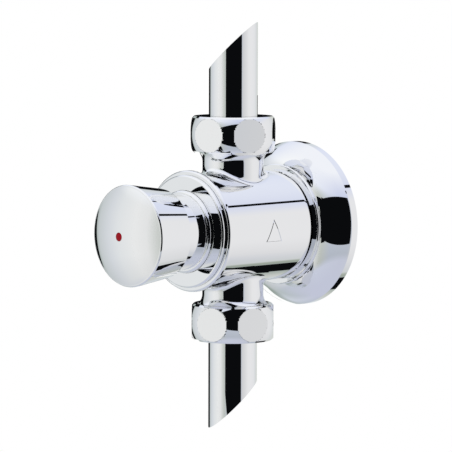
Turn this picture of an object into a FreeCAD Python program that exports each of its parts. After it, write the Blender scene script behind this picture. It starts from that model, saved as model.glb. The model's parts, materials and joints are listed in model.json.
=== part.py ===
import FreeCAD, Part
import math
import os
import Sketcher

# Timed shower valve for exposed pipes on a wall.
# The frame: origin at the centre of the wall face, on the valve's axis, which runs along -Y to the
# button. The pipes run along Z. Sizes named after a place on that axis are distances from the wall.
# Sizes named after a place on the pipes' axis are heights above or below the valve's axis.

DRIVING_SIZES = {
    # wall plate
    "plate_thickness": 3.0,
    "plate_margin": 4.2,
    "plate_screw_hole": 2.25,
    "socket_wall": 3.0,
    "socket_depth": 7.0,
    # wall flange and trim ring
    "flange_radius": 30.7,
    "flange_rim_width": 3.0,
    "flange_depth": 11.3,
    "flange_wall": 1.2,
    "flange_crown": 16.0,
    "neck_step": 0.7,
    "trim_ring_height": 2.1,
    "trim_ring_width": 1.8,
    "trim_ring_round": 0.6,
    # body casting
    "body_radius": 20.5,
    "barrel_length": 44.3,
    "body_bevel": 1.2,
    "tail_wall": 4.5,
    "tail_floor": 3.0,
    "lip_height": 1.7,
    "lip_width": 2.0,
    "lip_round": 0.9,
    "lip_bevel": 0.4,
    "head_depth": 8.1,
    "rear_chamber": 10.5,
    # spigots, up and down
    "port_setback": 21.4,
    "neck_length": 7.5,
    "spigot_waist": 11.3,
    "spigot_thread": 13.2,
    "spigot_thread_length": 6.4,
    "spigot_shoulder_length": 1.6,
    "spigot_undercut": 0.5,
    "spigot_flare": 4.9,
    "spigot_flare_length": 3.4,
    "spigot_blend": 3.2,
    "port_bore": 7.6,
    "port_floor": 4.0,
    "passage_bore": 2.6,
    "passage_offset": 4.6,
    # union nuts and pipes
    "nut_wall": 1.8,
    "nut_crown_rise": 1.25,
    "nut_edge": 0.6,
    "nut_top_wall": 2.0,
    "upper_nut_turn": 9.6,
    "lower_nut_turn": 15.7,
    "pipe_radius": 9.0,
    "pipe_wall": 1.0,
    "upper_pipe_length": 67.1,
    "lower_pipe_length": 65.5,
    "pipe_cut_slope": 0.978,
    "upper_cut_turn": 35.4,
    "lower_cut_turn": 54.3,
    "union_washer_thickness": 1.5,
    "union_washer_overlap": 0.6,
    "pipe_collar_thickness": 1.9,
    "pipe_collar_step": 0.6,
    "strainer_gap": 1.8,
    "strainer_length": 6.0,
    "strainer_wall": 0.7,
    "strainer_hole": 0.8,
    "strainer_hole_circle": 3.6,
    # seat between the chambers
    "seat_setback": 1.1,
    "seat_thickness": 3.0,
    "seat_bore": 6.0,
    "seat_flange_step": 2.0,
    "seat_flange_thickness": 1.2,
    "seat_nose": 0.5,
    "seat_nose_wall": 1.4,
    # head and cartridge
    "liner_bore": 12.0,
    "liner_wall": 1.4,
    "liner_annulus": 1.6,
    "outlet_gap": 2.6,
    "liner_seat_depth": 7.2,
    "web_thickness": 8.5,
    "collar_radius": 13.9,
    "collar_wall": 3.4,
    "collar_bevel": 0.5,
    "cove_radius": 1.2,
    "bead_width": 0.4,
    "head_flange_thickness": 2.7,
    "gasket_thickness": 1.0,
    "gland_radius": 1.0,
    "ring_skirt_wall": 1.8,
    "ring_height": 1.7,
    "ring_groove": 0.6,
    "ring_face_width": 4.5,
    "ring_round": 0.9,
    "ring_seat_width": 1.6,
    # button
    "button_gap": 9.9,
    "button_length": 17.75,
    "button_travel": 8.0,
    "button_skirt_wall": 0.8,
    "button_rim_radius": 18.4,
    "button_rim_round": 0.7,
    "button_rim_drop": 0.6,
    "button_rim_step": 0.55,
    "button_dome": 4.05,
    "button_face_thickness": 3.75,
    "button_boss_radius": 6.0,
    "button_boss_length": 5.0,
    "indicator_radius": 1.6,
    "indicator_depth": 2.4,
    "indicator_proud": 0.1,
    # plunger
    "stem_radius": 3.0,
    "stem_screw_depth": 1.4,
    "stem_tip_step": 0.5,
    "stem_tip_show": 1.0,
    "stem_collar_step": 1.2,
    "stem_collar_width": 1.2,
    "stop_gap": 0.3,
    "piston_gap": 0.5,
    "locknut_half_flats": 5.0,
    "locknut_thickness": 3.0,
    "small_nut_half_flats": 4.0,
    "small_nut_thickness": 3.0,
    "piston_play": 0.6,
    "piston_thickness": 4.8,
    "cup_base": 1.5,
    "cup_reach": 1.4,
    "cup_lip": 0.8,
    "jet_radius": 1.5,
    "jet_bore": 0.4,
    "disc_play": 1.5,
    "disc_base": 2.6,
    "disc_rim": 1.4,
    "disc_wall": 0.7,
    "valve_washer_thickness": 1.9,
    "spring_washer_step": 0.6,
    "spring_washer_width": 4.0,
    "spring_washer_thickness": 1.0,
    "spring_play": 1.75,
    "spring_wire": 0.75,
    "spring_turns": 6.0,
    # clearances
    "running_clearance": 0.08,
    "thread_clearance": 0.05,
    "seal_clearance": 0.1,
    "assembly_clearance": 0.1,
    "skirt_clearance": 0.3,
    "flange_clearance": 0.5,
    "nut_pipe_clearance": 0.4,
}

PISTON_NUT_TURN = 30.0
FLANGE_MITRE = math.tan(math.pi / 8)

doc = FreeCAD.newDocument("timed_shower_valve")
sheet = doc.addObject("Spreadsheet::Sheet", "Sizes")


class Size:
    """A length that knows its number and the sheet expression that gives it."""

    def __init__(self, number, text):
        self.number = number
        self.text = text

    def __add__(self, other):
        return Size(self.number + number_of(other), "(%s + %s)" % (self.text, text_of(other)))

    def __sub__(self, other):
        return Size(self.number - number_of(other), "(%s - %s)" % (self.text, text_of(other)))

    def __mul__(self, other):
        return Size(self.number * number_of(other), "(%s * %s)" % (self.text, text_of(other)))

    def __truediv__(self, other):
        return Size(self.number / number_of(other), "(%s / %s)" % (self.text, text_of(other)))

    def __neg__(self):
        return Size(-self.number, "(-1 * %s)" % self.text)


def number_of(value):
    return value.number if isinstance(value, Size) else float(value)


def text_of(value):
    return value.text if isinstance(value, Size) else "%.10g" % value


def root(size):
    return Size(math.sqrt(size.number), "sqrt(%s)" % size.text)


class Sizes:
    """The driving sizes as attributes, each tied to its cell in the sheet."""

    def __init__(self, table):
        for row, (name, number) in enumerate(table.items(), start=1):
            sheet.set("A%d" % row, name)
            sheet.set("B%d" % row, "%g" % number)
            sheet.setAlias("B%d" % row, name)
            setattr(self, name, Size(number, "Sizes." + name))


z = Sizes(DRIVING_SIZES)
doc.recompute()
parts = []

# Places along the valve's axis, as distances from the wall
body_rear = z.flange_depth + z.trim_ring_width
body_front = body_rear + z.barrel_length
port_distance = body_rear + z.port_setback
chamber_floor = z.plate_thickness + z.tail_floor
seat_bottom = port_distance - z.seat_setback
seat_top = seat_bottom + z.seat_thickness
valve_face = seat_bottom - z.seat_nose
head_shoulder = body_front - z.head_depth
head_bottom = head_shoulder + z.gasket_thickness
head_flange_top = head_bottom + z.head_flange_thickness
web_bottom = head_bottom + z.liner_seat_depth
web_top = web_bottom + z.web_thickness
ring_face = body_front + z.ring_height
skirt_end = ring_face + z.button_gap
button_rim = skirt_end + z.button_length
button_apex = button_rim + z.button_dome
button_floor = button_rim - z.button_face_thickness
collar_front = button_floor - z.button_travel - z.stop_gap
stem_top = button_floor + z.stem_screw_depth
stem_collar_top = web_bottom - z.piston_gap
stem_collar_bottom = stem_collar_top - z.stem_collar_width

# Radii about the valve's axis
tail_radius = z.rear_chamber + z.tail_wall
socket_radius = tail_radius + z.socket_wall
plate_radius = z.flange_radius - z.plate_margin
trim_ring_radius = z.body_radius + z.trim_ring_height
liner_radius = z.liner_bore + z.liner_wall
front_chamber = liner_radius + z.liner_annulus
bead_radius = z.collar_radius + z.cove_radius
ring_bore = bead_radius + z.assembly_clearance
head_body = bead_radius - z.assembly_clearance
head_thread = ring_bore + z.ring_skirt_wall
head_flange = head_thread - z.flange_clearance
skirt_bore = z.collar_radius + z.skirt_clearance
stem_hole = z.stem_radius + z.running_clearance
stem_fit = z.stem_radius + z.thread_clearance
stem_tip_radius = z.stem_radius - z.stem_tip_step
disc_radius = z.rear_chamber - z.disc_play

# Heights and radii on the pipes' axis
nut_base = z.body_radius + z.neck_length
thread_start = nut_base + z.spigot_shoulder_length
spigot_end = thread_start + z.spigot_thread_length
washer_top = spigot_end + z.union_washer_thickness
collar_top = washer_top + z.pipe_collar_thickness
nut_top = collar_top + z.nut_top_wall
pipe_bore = z.pipe_radius - z.pipe_wall
nut_half_flats = z.spigot_thread + z.nut_wall
nut_crown = nut_half_flats + z.nut_crown_rise
pipe_collar_radius = z.spigot_thread - z.pipe_collar_step


def bind(item, path, value):
    """Ties one property or constraint of a document object to its size."""
    item.setExpression(path, text_of(value))


def sketch_on(body, name, role, along=None, lift=None):
    """A sketch on one of the body's own origin planes, shifted along it or lifted off it."""
    sketch = body.newObject("Sketcher::SketchObject", name)
    plane = [item for item in body.Origin.OriginFeatures if item.Role == role][0]
    sketch.AttachmentSupport = [(plane, "")]
    sketch.MapMode = "FlatFace"
    if along is not None:
        bind(sketch, "AttachmentOffset.Base.x", along)
    if lift is not None:
        bind(sketch, "AttachmentOffset.Base.z", lift)
    return sketch


def pin_point(sketch, geometry, end, point):
    """Holds one point of the sketch at two sizes measured from the sketch's origin."""
    for kind, value in (("DistanceX", point[0]), ("DistanceY", point[1])):
        constraint = Sketcher.Constraint(kind, -1, 1, geometry, end, number_of(value))
        index = sketch.addConstraint(constraint)
        if isinstance(value, Size):
            bind(sketch, "Constraints[%d]" % index, value)


def arc_between(start, finish, radius):
    """The arc of the given radius from start to finish, its centre on the left when positive."""
    sweep = FreeCAD.Vector(finish) - FreeCAD.Vector(start)
    middle = (FreeCAD.Vector(finish) + FreeCAD.Vector(start)) * 0.5
    left = FreeCAD.Vector(-sweep.y, sweep.x, 0).normalize()
    rise = math.sqrt(max(radius * radius - sweep.Length ** 2 / 4, 0.0))
    centre = middle + left * math.copysign(rise, radius)
    first, last = (start, finish) if radius > 0 else (finish, start)
    angles = [math.atan2(point.y - centre.y, point.x - centre.x) for point in (first, last)]
    circle = Part.Circle(centre, FreeCAD.Vector(0, 0, 1), abs(radius))
    return Part.ArcOfCircle(circle, angles[0], angles[1])


def draw_loop(sketch, corners):
    """Draws a closed outline. A corner is (u, v), or (u, v, radius) where an arc leads to it."""
    points = [FreeCAD.Vector(number_of(c[0]), number_of(c[1]), 0) for c in corners]
    edges = []
    for index, corner in enumerate(corners):
        start, finish = points[index - 1], points[index]
        if len(corner) == 2:
            edges.append((sketch.addGeometry(Part.LineSegment(start, finish), False), 1, 2))
        else:
            arc = sketch.addGeometry(arc_between(start, finish, number_of(corner[2])), False)
            ends = (1, 2) if number_of(corner[2]) > 0 else (2, 1)
            edges.append((arc,) + ends)
    for index, corner in enumerate(corners):
        edge, following = edges[index], edges[(index + 1) % len(corners)]
        joint = Sketcher.Constraint("Coincident", edge[0], edge[2], following[0], following[1])
        sketch.addConstraint(joint)
        pin_point(sketch, edge[0], edge[2], corner)
    for edge, corner in zip(edges, corners):
        if len(corner) == 3:
            radius = corner[2] if number_of(corner[2]) > 0 else -corner[2]
            index = sketch.addConstraint(Sketcher.Constraint("Radius", edge[0], number_of(radius)))
            bind(sketch, "Constraints[%d]" % index, radius)


def draw_circle(sketch, centre, radius):
    """Draws a circle held by its centre and radius."""
    place = FreeCAD.Vector(number_of(centre[0]), number_of(centre[1]), 0)
    circle = Part.Circle(place, FreeCAD.Vector(0, 0, 1), number_of(radius))
    geometry = sketch.addGeometry(circle, False)
    pin_point(sketch, geometry, 3, centre)
    index = sketch.addConstraint(Sketcher.Constraint("Radius", geometry, number_of(radius)))
    bind(sketch, "Constraints[%d]" % index, radius)


def hexagon(half_flats, turn=0.0):
    """The six corners of a hexagon with the given half distance across its flats."""
    corner_radius = half_flats / math.cos(math.pi / 6)
    corners = []
    for step in range(6):
        angle = math.radians(60.0 * step + turn)
        corners.append((corner_radius * math.cos(angle), corner_radius * math.sin(angle)))
    return corners


def new_body(label):
    """A body that is one sub-part of the valve."""
    body = doc.addObject("PartDesign::Body", label)
    body.Label = label
    parts.append(body)
    return body


def from_wall(outline):
    """Turns (distance from the wall, radius) corners into sketch corners on the YZ plane."""
    return [(-corner[0],) + tuple(corner[1:]) for corner in outline]


def beside_wall(outline):
    """Turns (distance from the wall, radius) corners into sketch corners on the XY plane."""
    return [(corner[1], -corner[0]) + tuple(-bulge for bulge in corner[2:]) for corner in outline]


def turn_about(body, kind, name, sketch, axis):
    """Adds a revolution or groove of the whole sketch about one of its own axes."""
    feature = body.newObject(kind, name)
    feature.Profile = sketch
    feature.ReferenceAxis = (sketch, [axis])
    feature.Angle = 360
    sketch.Visibility = False
    return feature


def turned(label, outline):
    """A sub-part turned about the valve's axis from one outline."""
    body = new_body(label)
    sketch = sketch_on(body, label + "_profile", "YZ_Plane")
    draw_loop(sketch, from_wall(outline))
    turn_about(body, "PartDesign::Revolution", label + "_turned", sketch, "H_Axis")
    return body


def turned_on_pipe(label, outline, upper, azimuth=None):
    """A sub-part turned about the pipes' axis from (radius, height) corners."""
    body = new_body(label)
    place_on_pipe(body, azimuth)
    sketch = sketch_on(body, label + "_profile", "XZ_Plane")
    draw_loop(sketch, on_side(outline, upper))
    turn_about(body, "PartDesign::Revolution", label + "_turned", sketch, "V_Axis")
    return body


def place_on_pipe(body, azimuth=None):
    """Puts a body's own origin on the pipes' axis, turned by an azimuth about it."""
    if azimuth is not None:
        body.Placement = FreeCAD.Placement(
            FreeCAD.Vector(), FreeCAD.Rotation(FreeCAD.Vector(0, 0, 1), number_of(azimuth)))
        bind(body, "Placement.Rotation.Angle", azimuth)
    bind(body, "Placement.Base.y", -port_distance)


def on_side(outline, upper):
    """Keeps (radius, height) corners for the upper side, or mirrors them for the lower side."""
    if upper:
        return outline
    return [(corner[0], -corner[1]) + tuple(-bulge for bulge in corner[2:]) for corner in outline]


def ring(label, bottom, top, bore, radius):
    """A plain flat ring about the valve's axis."""
    return turned(label, [(bottom, bore), (bottom, radius), (top, radius), (top, bore)])


def cut_through(body, name, sketch):
    """Cuts a sketch through everything on both sides of it."""
    pocket = body.newObject("PartDesign::Pocket", name)
    pocket.Profile = sketch
    pocket.Type = "ThroughAll"
    pocket.Midplane = True
    sketch.Visibility = False
    return pocket


def hex_nut(label, bottom, thickness, half_flats, bore, turn=0.0):
    """A small hexagon nut on the valve's axis."""
    body = new_body(label)
    sketch = sketch_on(body, label + "_profile", "XZ_Plane", lift=bottom)
    draw_loop(sketch, hexagon(half_flats, turn))
    draw_circle(sketch, (0.0, 0.0), bore)
    raise_pad(body, label + "_pad", sketch, thickness)
    return body


def raise_pad(body, name, sketch, thickness):
    """Raises a sketch on the XZ plane away from the wall."""
    pad = body.newObject("PartDesign::Pad", name)
    pad.Profile = sketch
    bind(pad, "Length", thickness)
    sketch.Visibility = False


# Wall plate: a disc screwed to the wall, with a socket that the body's tail screws into
wall_plate = turned("wall_plate", [
    (0.0, 0.0),
    (0.0, plate_radius),
    (z.plate_thickness, plate_radius),
    (z.plate_thickness, socket_radius),
    (z.plate_thickness + z.socket_depth, socket_radius),
    (z.plate_thickness + z.socket_depth, tail_radius + z.thread_clearance),
    (z.plate_thickness, tail_radius + z.thread_clearance),
    (z.plate_thickness, 0.0),
])
screw_circle = (socket_radius + plate_radius) / 2
holes = sketch_on(wall_plate, "wall_plate_screw_holes", "XZ_Plane")
for angle in (90.0, 210.0, 330.0):
    centre_x = screw_circle * math.cos(math.radians(angle))
    centre_z = screw_circle * math.sin(math.radians(angle))
    draw_circle(holes, (centre_x, centre_z), z.plate_screw_hole)
cut_through(wall_plate, "wall_plate_holes", holes)

# Wall flange: a domed shell of even wall, with a flat neck that the trim ring holds
neck_radius = trim_ring_radius - z.neck_step
neck_bore = socket_radius + z.flange_clearance
inner_corner = z.flange_wall * FLANGE_MITRE
turned("wall_flange", [
    (0.0, z.flange_radius - z.flange_wall),
    (0.0, z.flange_radius),
    (z.flange_rim_width, z.flange_radius),
    (z.flange_depth, neck_radius, z.flange_crown),
    (z.flange_depth, neck_bore),
    (z.flange_depth - z.flange_wall, neck_bore),
    (z.flange_depth - z.flange_wall, neck_radius - inner_corner),
    (z.flange_rim_width - inner_corner, z.flange_radius - z.flange_wall,
     -(z.flange_crown - z.flange_wall)),
])

# Trim ring between the flange's neck and the body's rear face
trim_seat_radius = z.body_radius - z.body_bevel * 2
trim_front = body_rear - z.trim_ring_round
turned("trim_ring", [
    (z.flange_depth, tail_radius + z.assembly_clearance),
    (z.flange_depth, trim_ring_radius - z.trim_ring_round),
    (z.flange_depth + z.trim_ring_round, trim_ring_radius, z.trim_ring_round),
    (trim_front - z.trim_ring_round, trim_ring_radius),
    (trim_front, trim_ring_radius - z.trim_ring_round, z.trim_ring_round),
    (trim_front, trim_seat_radius),
    (body_rear, trim_seat_radius),
    (body_rear, tail_radius + z.assembly_clearance),
])

# Body: a barrel with a tail to the rear, a lip at the front and a spigot up and down
valve_body = new_body("valve_body")
barrel = sketch_on(valve_body, "barrel_profile", "XY_Plane")
lip_back = body_front - z.lip_width
lip_radius = z.body_radius + z.lip_height
draw_loop(barrel, beside_wall([
    (z.plate_thickness, 0.0),
    (z.plate_thickness, tail_radius),
    (body_rear, tail_radius),
    (body_rear, z.body_radius - z.body_bevel),
    (body_rear + z.body_bevel, z.body_radius),
    (lip_back, z.body_radius),
    (lip_back, lip_radius - z.lip_bevel),
    (lip_back + z.lip_bevel, lip_radius),
    (body_front - z.lip_round, lip_radius),
    (body_front, lip_radius - z.lip_round, z.lip_round),
    (body_front, 0.0),
]))
turn_about(valve_body, "PartDesign::Revolution", "barrel", barrel, "V_Axis")
spigots = sketch_on(valve_body, "spigot_profile", "YZ_Plane", along=-port_distance)
shoulder_radius = z.spigot_thread - z.spigot_undercut
upper_half = [
    (z.spigot_waist, nut_base - z.spigot_flare_length),
    (shoulder_radius, nut_base, -z.spigot_flare),
    (shoulder_radius, thread_start),
    (z.spigot_thread, thread_start),
    (z.spigot_thread, spigot_end),
    (0.0, spigot_end),
]
lower_half = [
    (0.0, -spigot_end),
    (z.spigot_thread, -spigot_end),
    (z.spigot_thread, -thread_start),
    (shoulder_radius, -thread_start),
    (shoulder_radius, -nut_base),
    (z.spigot_waist, z.spigot_flare_length - nut_base, -z.spigot_flare),
]
draw_loop(spigots, lower_half + upper_half)
turn_about(valve_body, "PartDesign::Revolution", "spigots", spigots, "V_Axis")
doc.recompute()


def curved_crossings(shape):
    """Names of the edges where two round surfaces cross, which are neither lines nor circles."""
    return ["Edge%d" % index for index, edge in enumerate(shape.Edges, start=1)
            if isinstance(edge.Curve, Part.BSplineCurve)]


blend = valve_body.newObject("PartDesign::Fillet", "spigot_blend")
spigot_feature = doc.getObject("spigots")
blend.Base = (spigot_feature, curved_crossings(spigot_feature.Shape))
bind(blend, "Radius", z.spigot_blend)

chambers = sketch_on(valve_body, "chamber_profile", "YZ_Plane")
draw_loop(chambers, from_wall([
    (chamber_floor, 0.0),
    (chamber_floor, z.rear_chamber),
    (seat_top, z.rear_chamber),
    (seat_top, front_chamber),
    (head_shoulder, front_chamber),
    (head_shoulder, head_thread),
    (body_front + z.lip_width, head_thread),
    (body_front + z.lip_width, 0.0),
]))
turn_about(valve_body, "PartDesign::Groove", "chambers", chambers, "H_Axis")

port_bottom = front_chamber + z.port_floor
for side, sign in (("upper", 1), ("lower", -1)):
    port = sketch_on(valve_body, side + "_port_profile", "YZ_Plane", along=-port_distance)
    draw_loop(port, [
        (0.0, port_bottom * sign),
        (z.port_bore, port_bottom * sign),
        (z.port_bore, (spigot_end + z.lip_width) * sign),
        (0.0, (spigot_end + z.lip_width) * sign),
    ])
    turn_about(valve_body, "PartDesign::Groove", side + "_port", port, "V_Axis")
    passage = sketch_on(valve_body, side + "_passage_profile", "XY_Plane")
    draw_circle(passage, (0.0, -(port_distance + z.passage_offset * sign)), z.passage_bore)
    drilled = valve_body.newObject("PartDesign::Pocket", side + "_passage")
    drilled.Profile = passage
    drilled.Reversed = sign > 0
    bind(drilled, "Length", port_bottom + z.passage_bore / 2)
    passage.Visibility = False

# Unions: on each spigot a washer, a collar brazed on the tube, a nut, and the tube itself
arc_height = (nut_top - nut_base) / 2 - z.nut_edge
arc_radius = root(nut_crown * nut_crown - arc_height * arc_height)
nut_bore = z.spigot_thread + z.thread_clearance
nut_mouth = z.pipe_radius + z.nut_pipe_clearance
collar_bore = z.pipe_radius + z.thread_clearance
washer_bore = z.port_bore - z.union_washer_overlap
cut_reach = z.pipe_radius * 2
for side, upper, nut_turn, cut_turn, length in (
        ("outlet", True, z.upper_nut_turn, z.upper_cut_turn, z.upper_pipe_length),
        ("inlet", False, z.lower_nut_turn, z.lower_cut_turn, z.lower_pipe_length)):
    turned_on_pipe(side + "_washer", [
        (washer_bore, spigot_end),
        (pipe_collar_radius, spigot_end),
        (pipe_collar_radius, washer_top),
        (washer_bore, washer_top),
    ], upper)
    turned_on_pipe(side + "_pipe_collar", [
        (collar_bore, washer_top),
        (pipe_collar_radius, washer_top),
        (pipe_collar_radius, collar_top),
        (collar_bore, collar_top),
    ], upper)
    nut = turned_on_pipe(side + "_nut", [
        (nut_bore, nut_base),
        (arc_radius - z.nut_edge, nut_base),
        (arc_radius, nut_base + z.nut_edge),
        (arc_radius, nut_top - z.nut_edge, nut_crown),
        (arc_radius - z.nut_edge, nut_top),
        (nut_mouth, nut_top),
        (nut_mouth, collar_top),
        (nut_bore, collar_top),
    ], upper, nut_turn)
    flats = sketch_on(nut, side + "_nut_flats", "XY_Plane")
    draw_circle(flats, (0.0, 0.0), nut_crown * 2)
    draw_loop(flats, hexagon(nut_half_flats))
    cut_through(nut, side + "_nut_hexagon", flats)

    pipe = turned_on_pipe(side + "_pipe", [
        (pipe_bore, washer_top),
        (z.pipe_radius, washer_top),
        (z.pipe_radius, length + cut_reach),
        (pipe_bore, length + cut_reach),
    ], upper, cut_turn)
    saw_cut = sketch_on(pipe, side + "_pipe_saw_cut", "XZ_Plane")
    sign = 1 if upper else -1
    cut_rise = cut_reach * z.pipe_cut_slope
    waste_end = (length + cut_reach * 2 + cut_rise) * sign
    draw_loop(saw_cut, [
        (-cut_reach, length * sign - cut_rise),
        (cut_reach, length * sign + cut_rise),
        (cut_reach, waste_end),
        (-cut_reach, waste_end),
    ])
    cut_through(pipe, side + "_pipe_end", saw_cut)

# Inlet strainer: a rimmed thimble in the inlet spigot with a ring of holes in its end
strainer_rim = z.port_bore - z.assembly_clearance
strainer_radius = z.port_bore - z.strainer_gap
strainer_bore = strainer_radius - z.strainer_wall
strainer_end = spigot_end - z.strainer_length
strainer = turned_on_pipe("inlet_strainer", [
    (0.0, strainer_end),
    (strainer_radius, strainer_end),
    (strainer_radius, spigot_end - z.strainer_wall),
    (strainer_rim, spigot_end - z.strainer_wall),
    (strainer_rim, spigot_end),
    (strainer_bore, spigot_end),
    (strainer_bore, strainer_end + z.strainer_wall),
    (0.0, strainer_end + z.strainer_wall),
], False)
mesh = sketch_on(strainer, "strainer_holes_profile", "XY_Plane")
for step in range(8):
    angle = math.radians(45.0 * step)
    centre = (z.strainer_hole_circle * math.cos(angle), z.strainer_hole_circle * math.sin(angle))
    draw_circle(mesh, centre, z.strainer_hole)
cut_through(strainer, "strainer_holes", mesh)

# Seat ring: screwed in from the front, with a nose towards the wall that the washer closes on
seat_outer = z.rear_chamber - z.thread_clearance
seat_flange = z.rear_chamber + z.seat_flange_step
turned("seat_ring", [
    (valve_face, z.seat_bore),
    (valve_face, z.seat_bore + z.seat_nose_wall / 2),
    (seat_bottom, z.seat_bore + z.seat_nose_wall),
    (seat_bottom, seat_outer),
    (seat_top, seat_outer),
    (seat_top, seat_flange),
    (seat_top + z.seat_flange_thickness, seat_flange),
    (seat_top + z.seat_flange_thickness, z.seat_bore),
])

# Head: gasket, liner, collar with the stem's gland, and the ring that screws it down
liner_fit = liner_radius + z.thread_clearance
gland_outer = stem_hole + z.gland_radius * 2
gland_middle = (web_bottom + web_top) / 2
collar_pocket = z.collar_radius - z.collar_wall
ring("head_gasket", head_shoulder, head_bottom, front_chamber + z.assembly_clearance, head_flange)
ring("cartridge_liner", seat_top + z.outlet_gap, web_bottom, z.liner_bore, liner_radius)
turned("head_collar", [
    (web_bottom, stem_hole),
    (gland_middle - z.gland_radius, stem_hole),
    (gland_middle - z.gland_radius, gland_outer),
    (gland_middle + z.gland_radius, gland_outer),
    (gland_middle + z.gland_radius, stem_hole),
    (web_top, stem_hole),
    (web_top, collar_pocket),
    (collar_front, collar_pocket),
    (collar_front, z.collar_radius - z.collar_bevel),
    (collar_front - z.collar_bevel, z.collar_radius),
    (ring_face + z.bead_width + z.cove_radius, z.collar_radius),
    (ring_face + z.bead_width, bead_radius, -z.cove_radius),
    (ring_face, bead_radius),
    (ring_face, head_body),
    (head_flange_top, head_body),
    (head_flange_top, head_flange),
    (head_bottom, head_flange),
    (head_bottom, liner_fit),
    (web_bottom, liner_fit),
])
gland_seal = doc.addObject("Part::Torus", "gland_seal")
gland_seal.Label = "gland_seal"
parts.append(gland_seal)
seal_section = z.gland_radius - z.seal_clearance / 2
bind(gland_seal, "Radius2", seal_section)
bind(gland_seal, "Radius1", z.stem_radius + z.seal_clearance + seal_section)
gland_seal.Placement = FreeCAD.Placement(
    FreeCAD.Vector(), FreeCAD.Rotation(FreeCAD.Vector(1, 0, 0), 90))
bind(gland_seal, "Placement.Base.y", -gland_middle)

ring_face_radius = ring_bore + z.ring_face_width
ring_edge_radius = ring_face_radius + z.ring_round
ring_seat_radius = head_thread + z.ring_seat_width
ring_thread = head_thread - z.thread_clearance
turned("retaining_ring", [
    (head_flange_top, ring_bore),
    (head_flange_top, ring_thread),
    (body_front, ring_thread),
    (body_front, ring_seat_radius),
    (body_front + z.ring_groove, ring_seat_radius),
    (body_front + z.ring_groove, ring_edge_radius),
    (ring_face - z.ring_round, ring_edge_radius),
    (ring_face, ring_face_radius, z.ring_round),
    (ring_face, ring_bore),
])

# Push button: a domed face, a tapered skirt and a boss that takes the stem
boss_end = button_floor - z.button_boss_length
face_radius = z.button_rim_radius - z.button_rim_step
dome_radius = (face_radius * face_radius + z.button_dome * z.button_dome) / (z.button_dome * 2)
push_button = turned("push_button", [
    (skirt_end, skirt_bore),
    (skirt_end, skirt_bore + z.button_skirt_wall),
    (button_rim - z.button_rim_drop, z.button_rim_radius),
    (button_rim, face_radius, z.button_rim_round),
    (button_apex, 0.0, dome_radius),
    (stem_top, 0.0),
    (stem_top, stem_fit),
    (boss_end, stem_fit),
    (boss_end, z.button_boss_radius),
    (button_floor, z.button_boss_radius),
    (button_floor, skirt_bore),
])
indicator_bottom = button_apex - z.indicator_depth
eye = sketch_on(push_button, "indicator_hole_profile", "YZ_Plane")
draw_loop(eye, from_wall([
    (indicator_bottom, 0.0),
    (indicator_bottom, z.indicator_radius),
    (button_apex + z.indicator_depth, z.indicator_radius),
    (button_apex + z.indicator_depth, 0.0),
]))
turn_about(push_button, "PartDesign::Groove", "indicator_hole", eye, "H_Axis")
indicator_body = z.indicator_radius - z.thread_clearance
turned("red_indicator", [
    (indicator_bottom, 0.0),
    (indicator_bottom, indicator_body),
    (button_apex, indicator_body),
    (button_apex + z.indicator_proud, 0.0),
])

# Plunger: stem with its collar, lock nut, timing piston, cup and jet, valve disc and washer
disc_recess = valve_face - z.valve_washer_thickness
disc_bottom = disc_recess - z.disc_base
tip_fit = stem_tip_radius + z.thread_clearance
stem_tip = disc_bottom - z.small_nut_thickness - z.stem_tip_show
turned("stem", [
    (stem_tip, 0.0),
    (stem_tip, stem_tip_radius),
    (disc_recess, stem_tip_radius),
    (disc_recess, z.stem_radius),
    (stem_collar_bottom, z.stem_radius),
    (stem_collar_bottom, z.stem_radius + z.stem_collar_step),
    (stem_collar_top, z.stem_radius + z.stem_collar_step),
    (stem_collar_top, z.stem_radius),
    (stem_top, z.stem_radius),
    (stem_top, 0.0),
])
hex_nut("stem_locknut", boss_end - z.locknut_thickness, z.locknut_thickness,
        z.locknut_half_flats, stem_fit)

cup_bottom = stem_collar_bottom - z.cup_base
piston_bottom = cup_bottom - z.piston_thickness
piston_radius = z.liner_bore - z.piston_play
cup_radius = z.liner_bore - z.seal_clearance
cup_rim = stem_collar_bottom + z.cup_reach
jet_offset = (stem_fit + piston_radius) / 2
piston = ring("piston", piston_bottom, cup_bottom, stem_fit, piston_radius)
jet_hole = sketch_on(piston, "jet_hole_profile", "XZ_Plane")
draw_circle(jet_hole, (0.0, jet_offset), z.jet_radius + z.thread_clearance)
cut_through(piston, "jet_hole", jet_hole)
piston_cup = turned("piston_cup", [
    (cup_bottom, stem_fit),
    (cup_bottom, cup_radius - z.cup_lip / 2),
    (cup_rim, cup_radius),
    (cup_rim, cup_radius - z.cup_lip),
    (stem_collar_bottom, cup_radius - z.cup_lip * 2),
    (stem_collar_bottom, stem_fit),
])
cup_hole = sketch_on(piston_cup, "cup_hole_profile", "XZ_Plane")
draw_circle(cup_hole, (0.0, jet_offset), z.jet_bore * 2)
cut_through(piston_cup, "cup_hole", cup_hole)
jet = new_body("timing_jet")
jet_profile = sketch_on(jet, "timing_jet_profile", "XZ_Plane", lift=piston_bottom)
draw_circle(jet_profile, (0.0, jet_offset), z.jet_radius)
draw_circle(jet_profile, (0.0, jet_offset), z.jet_bore)
raise_pad(jet, "timing_jet_pad", jet_profile, z.piston_thickness)
hex_nut("piston_nut", piston_bottom - z.small_nut_thickness, z.small_nut_thickness,
        z.small_nut_half_flats, stem_fit, PISTON_NUT_TURN)

turned("valve_disc", [
    (disc_bottom, tip_fit),
    (disc_bottom, disc_radius),
    (disc_recess + z.disc_rim, disc_radius),
    (disc_recess + z.disc_rim, disc_radius - z.disc_wall),
    (disc_recess, disc_radius - z.disc_wall),
    (disc_recess, tip_fit),
])
ring("valve_washer", disc_recess, valve_face, stem_fit,
     disc_radius - z.disc_wall - z.thread_clearance)
hex_nut("disc_nut", disc_bottom - z.small_nut_thickness, z.small_nut_thickness,
        z.small_nut_half_flats, tip_fit)

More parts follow.
